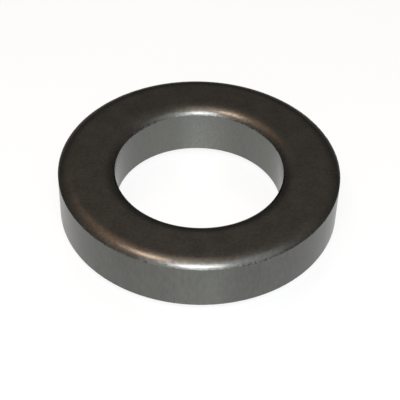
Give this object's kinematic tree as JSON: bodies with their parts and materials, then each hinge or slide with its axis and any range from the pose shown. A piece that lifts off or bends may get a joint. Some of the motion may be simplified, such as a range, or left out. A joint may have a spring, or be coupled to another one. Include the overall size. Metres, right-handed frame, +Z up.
{
  "type": "ferrite toroid core",
  "caption": "Flat ring of dark sintered ferrite with a round bore, straight walls and pressed, rounded edges, for winding as a choke, inductor or transformer core.",
  "frame": {"origin": "centre of the lower flat face, on the ring's axis", "axes": "+Z up along the ring's axis; the ring lies flat on Z = 0, and X and Y are alike"},
  "size_m": [0.061, 0.061, 0.0127],
  "materials": {
    "ferrite": "uncoated, fired: matt pressed faces and smoother die-drawn walls"
  },
  "bodies": {
    "root": {"ferrite_core": "ferrite"}
  },
  "joints": []
}
